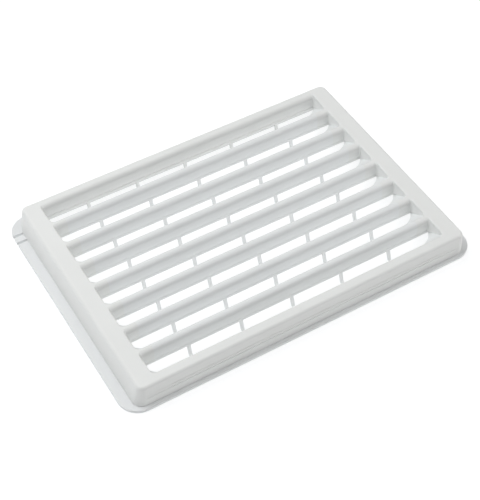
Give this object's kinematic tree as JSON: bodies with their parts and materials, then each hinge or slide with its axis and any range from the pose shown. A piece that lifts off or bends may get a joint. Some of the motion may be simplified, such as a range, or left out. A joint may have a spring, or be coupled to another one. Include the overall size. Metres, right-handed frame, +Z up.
{
  "type": "queen excluder",
  "caption": "Small flanged plastic queen excluder insert: a grille of eight long bee slots with small feet under its bars, in a shallow frame with a flat rim.",
  "frame": {"origin": "centre of the rim's bounding rectangle, on the flat underside of the rim", "axes": "+X along the slots, towards the right end; +Y towards the back edge, where the rim is wider; +Z up, out of the rounded face of the grille"},
  "size_m": [0.0846, 0.0586, 0.0065],
  "materials": {
    "frame_plastic": "satin moulded, near white",
    "bar_plastic": "satin moulded, near white",
    "rim_plastic": "satin moulded, near white"
  },
  "bodies": {
    "root": {"left_rail": "frame_plastic", "right_rail": "frame_plastic", "front_rail": "frame_plastic", "back_rail": "frame_plastic", "bar_1": "bar_plastic", "bar_2": "bar_plastic", "bar_3": "bar_plastic", "bar_4": "bar_plastic", "bar_5": "bar_plastic", "bar_6": "bar_plastic", "bar_7": "bar_plastic", "corner_web_left_1": "bar_plastic", "corner_web_left_2": "bar_plastic", "corner_web_left_3": "bar_plastic", "corner_web_left_4": "bar_plastic", "corner_web_left_5": "bar_plastic", "corner_web_left_6": "bar_plastic", "corner_web_left_7": "bar_plastic", "corner_web_left_8": "bar_plastic", "corner_web_right_1": "bar_plastic", "corner_web_right_2": "bar_plastic", "corner_web_right_3": "bar_plastic", "corner_web_right_4": "bar_plastic", "corner_web_right_5": "bar_plastic", "corner_web_right_6": "bar_plastic", "corner_web_right_7": "bar_plastic", "corner_web_right_8": "bar_plastic", "left_rim": "rim_plastic", "rim_tongue": "rim_plastic", "right_rim": "rim_plastic", "front_rim": "rim_plastic", "back_rim": "rim_plastic", "rim_corner_front_left": "rim_plastic", "rim_corner_front_right": "rim_plastic", "rim_corner_back_left": "rim_plastic", "rim_corner_back_right": "rim_plastic"}
  },
  "joints": []
}
